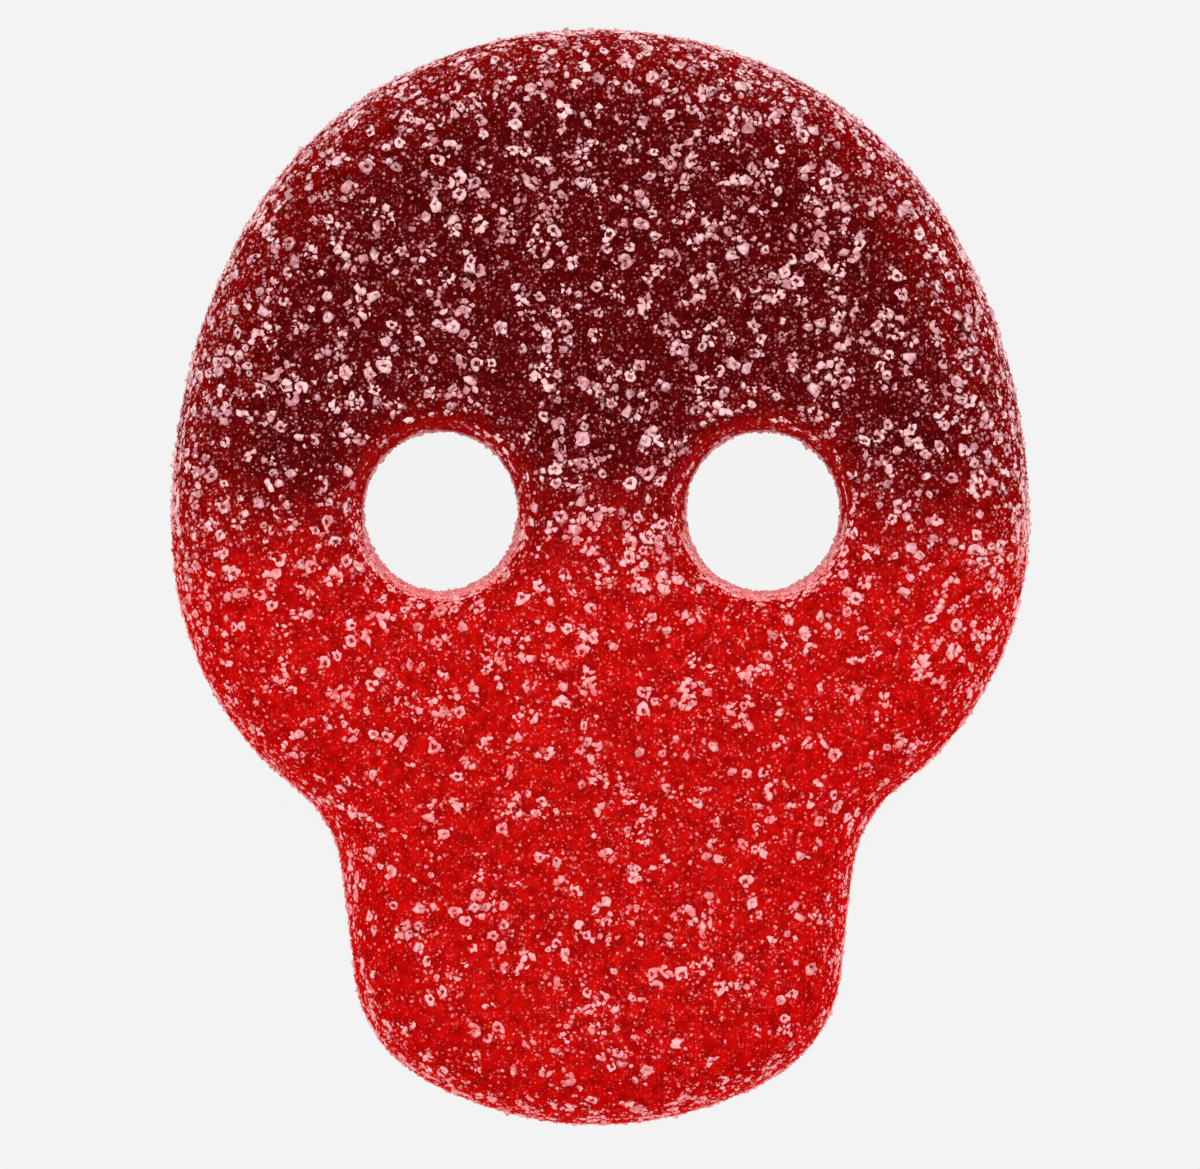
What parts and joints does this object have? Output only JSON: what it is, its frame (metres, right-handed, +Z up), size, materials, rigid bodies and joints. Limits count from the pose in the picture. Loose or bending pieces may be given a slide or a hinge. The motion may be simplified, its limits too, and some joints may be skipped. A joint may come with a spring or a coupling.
{
  "type": "sour gummy skull",
  "caption": "Sugar-coated fruit gummy cast as a flat-backed skull, with a round cranium, a narrower square jaw and eye holes right through it.",
  "frame": {"origin": "middle of the bounding box at the underside, on the surface that the gummy lies on", "axes": "+Y towards the crown of the skull, +Z up out of its face, +X towards the right of the face as seen from above"},
  "size_m": [0.0314, 0.04, 0.0093],
  "materials": {
    "sugared_gel": "translucent red fruit gel, darker towards the crown, under a coarse coat of clear sour sugar"
  },
  "bodies": {
    "root": {"gummy_skull": "sugared_gel"}
  },
  "joints": []
}
